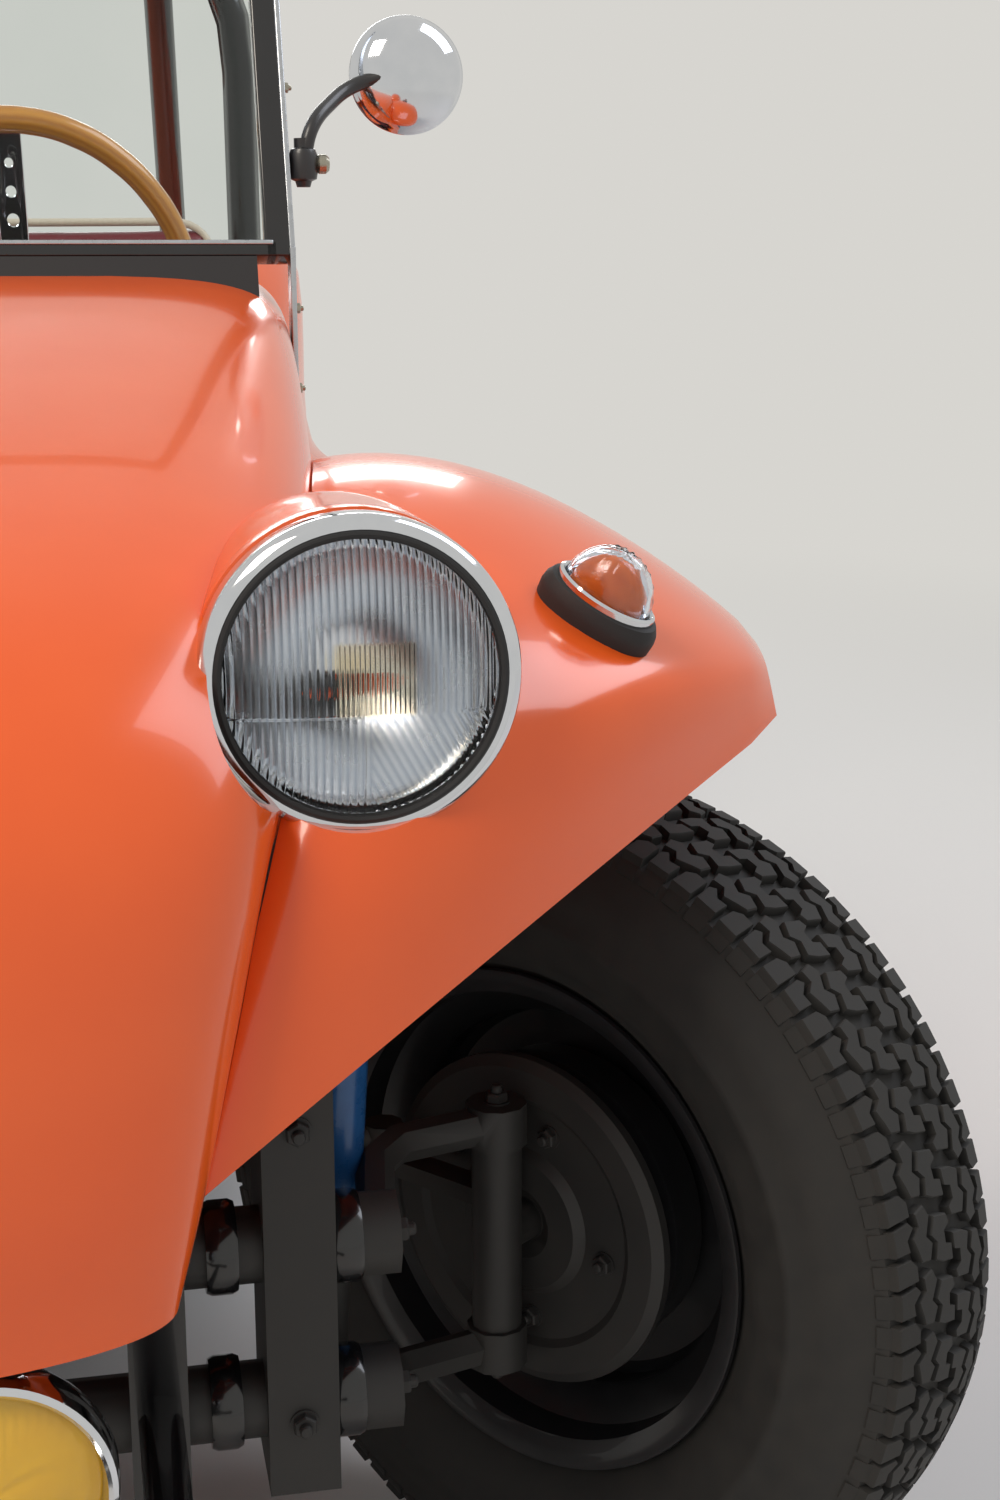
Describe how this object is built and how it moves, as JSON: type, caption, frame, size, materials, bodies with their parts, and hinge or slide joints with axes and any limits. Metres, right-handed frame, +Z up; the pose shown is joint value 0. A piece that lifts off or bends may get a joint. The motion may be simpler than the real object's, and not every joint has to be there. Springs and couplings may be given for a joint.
{
  "type": "dune buggy",
  "caption": "Open moulded-body dune buggy on a shortened saloon floor pan, with steered front wheels that roll, bucket seats, roll bar and an open rear engine.",
  "frame": {"origin": "on the ground under the middle of the car's overall box", "axes": "+Z up, nose towards -Y, the driver's side at +X"},
  "size_m": [1.8844, 3.3438, 1.521],
  "materials": {
    "orange_gelcoat": "gloss moulded glass-fibre gelcoat",
    "black_steel": "satin black paint",
    "wheel_steel": "black paint on pressed steel",
    "tyre_rubber": "moulded tread rubber",
    "chrome": "bright plating",
    "lamp_glass": "fluted clear glass",
    "screen_glass": "flat laminated glass",
    "seal_rubber": "extruded rubber strip",
    "amber_lens": "clear ribbed lens over amber",
    "yellow_lens": "yellow pressed glass in a chromed rim",
    "red_lens": "moulded red lens",
    "seat_vinyl": "maroon vinyl",
    "wood_rim": "varnished wood on steel",
    "damper_blue": "blue enamel",
    "cast_alloy": "sand-cast alloy"
  },
  "bodies": {
    "chassis": {"body_side_left": "orange_gelcoat", "body_side_right": "orange_gelcoat", "dashboard": "black_steel", "engine": "cast_alloy", "exhaust": "chrome", "fan_housing": "black_steel", "floor_pan": "black_steel", "fog_lamp_left": "yellow_lens", "fog_lamp_right": "yellow_lens", "front_axle_beam": "black_steel", "front_bumper": "black_steel", "front_fender_left": "orange_gelcoat", "front_fender_right": "orange_gelcoat", "front_shock_left": "damper_blue", "front_shock_right": "damper_blue", "gear_lever": "black_steel", "gearbox": "cast_alloy", "headlamp_left": "chrome", "headlamp_lens_left": "lamp_glass", "headlamp_lens_right": "lamp_glass", "headlamp_right": "chrome", "hood_panel": "orange_gelcoat", "indicator_left": "amber_lens", "indicator_right": "amber_lens", "mirror_left": "chrome", "mirror_right": "chrome", "rear_deck": "orange_gelcoat", "rear_fender_left": "orange_gelcoat", "rear_fender_right": "orange_gelcoat", "rear_guard": "black_steel", "rear_shock_left": "damper_blue", "rear_shock_right": "damper_blue", "roll_bar": "black_steel", "seat_left": "seat_vinyl", "seat_right": "seat_vinyl", "steering_column": "black_steel", "tail_lamp_left": "red_lens", "tail_lamp_right": "red_lens", "toe_board": "black_steel", "windscreen_frame": "black_steel", "windscreen_glass": "screen_glass", "windscreen_seal": "seal_rubber"},
    "knuckle_left": {"knuckle_left": "black_steel"},
    "knuckle_right": {"knuckle_right": "black_steel"},
    "drop_arm": {"drop_arm": "cast_alloy"},
    "tie_rod_left": {"tie_rod_left": "black_steel"},
    "tie_rod_right": {"tie_rod_right": "black_steel"},
    "steering_wheel": {"steering_wheel": "wood_rim"},
    "wheel_front_left": {"tyre_front_left": "tyre_rubber", "rim_front_left": "wheel_steel"},
    "wheel_front_right": {"tyre_front_right": "tyre_rubber", "rim_front_right": "wheel_steel"},
    "wheel_rear_left": {"tyre_rear_left": "tyre_rubber", "rim_rear_left": "wheel_steel"},
    "wheel_rear_right": {"tyre_rear_right": "tyre_rubber", "rim_rear_right": "wheel_steel"}
  },
  "joints": [
    {"name": "steer_left", "type": "hinge", "parent": "chassis", "child": "knuckle_left", "pos_m": [0.6, -1.196, 0.348], "axis": [0, 0, 1], "range_deg": [-77.6, 0]},
    {"name": "steer_right", "type": "hinge", "parent": "chassis", "child": "knuckle_right", "pos_m": [-0.6, -1.196, 0.348], "axis": [0, 0, 1], "range_deg": [-77.6, 0]},
    {"name": "drop_arm_swing", "type": "hinge", "parent": "chassis", "child": "drop_arm", "pos_m": [0.22, -1.196, 0.38], "axis": [0, 0, 1], "range_deg": [-77.6, 0]},
    {"name": "tie_rod_left_end", "type": "hinge", "parent": "knuckle_left", "child": "tie_rod_left", "pos_m": [0.52481, -1.10248, 0.4], "axis": [0, 0, 1], "range_deg": [0, 77.6]},
    {"name": "tie_rod_right_end", "type": "hinge", "parent": "knuckle_right", "child": "tie_rod_right", "pos_m": [-0.67519, -1.10248, 0.4], "axis": [0, 0, 1], "range_deg": [0, 77.6]},
    {"name": "steering_wheel_turn", "type": "hinge", "parent": "chassis", "child": "steering_wheel", "pos_m": [0.235, -0.101, 1.1], "axis": [0.0119, 0.8701, 0.4927], "range_deg": [-1113, 0]},
    {"name": "roll_front_left", "type": "hinge", "parent": "knuckle_left", "child": "wheel_front_left", "pos_m": [0.67793, -1.13334, 0.348], "axis": [0.7793, 0.6266, 0], "continuous": true},
    {"name": "roll_front_right", "type": "hinge", "parent": "knuckle_right", "child": "wheel_front_right", "pos_m": [-0.67793, -1.25866, 0.348], "axis": [0.7793, 0.6266, 0], "continuous": true},
    {"name": "roll_rear_left", "type": "hinge", "parent": "chassis", "child": "wheel_rear_left", "pos_m": [0.7, 0.854, 0.354], "axis": [1, 0, 0], "continuous": true},
    {"name": "roll_rear_right", "type": "hinge", "parent": "chassis", "child": "wheel_rear_right", "pos_m": [-0.7, 0.854, 0.354], "axis": [1, 0, 0], "continuous": true}
  ],
  "couplings": [
    {"joint": "steer_right", "follows": "steer_left", "ratio": 1},
    {"joint": "drop_arm_swing", "follows": "steer_left", "ratio": 1},
    {"joint": "tie_rod_left_end", "follows": "steer_left", "ratio": -1},
    {"joint": "tie_rod_right_end", "follows": "steer_left", "ratio": -1},
    {"joint": "steering_wheel_turn", "follows": "steer_left", "ratio": 14.34}
  ]
}
